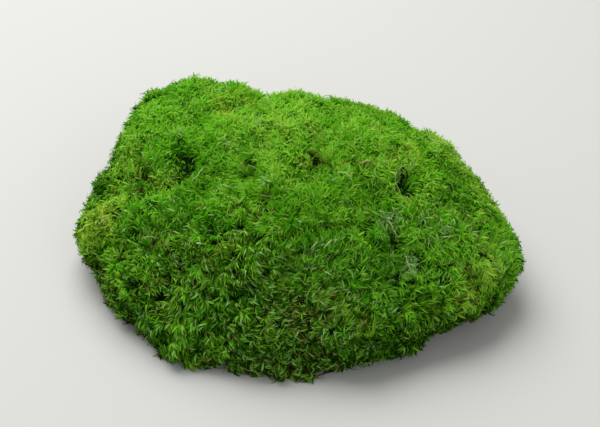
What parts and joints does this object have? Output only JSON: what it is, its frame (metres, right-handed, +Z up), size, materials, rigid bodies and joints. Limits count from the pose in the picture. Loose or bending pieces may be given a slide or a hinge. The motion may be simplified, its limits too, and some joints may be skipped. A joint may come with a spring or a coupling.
{
  "type": "moss cushion",
  "caption": "Low domed cushion of growing moss with several grown-together lobes and a tufted surface, cut off flat underneath so that it rests on the cut.",
  "frame": {"origin": "middle of the bounding box in plan, on the flat cut that the cushion rests on", "axes": "+X along the cushion's length, +Y from its front to its back, +Z up"},
  "size_m": [0.204, 0.15, 0.078],
  "materials": {
    "moss": "matt, leafy, fresh green"
  },
  "bodies": {
    "root": {"moss_cushion": "moss"}
  },
  "joints": []
}
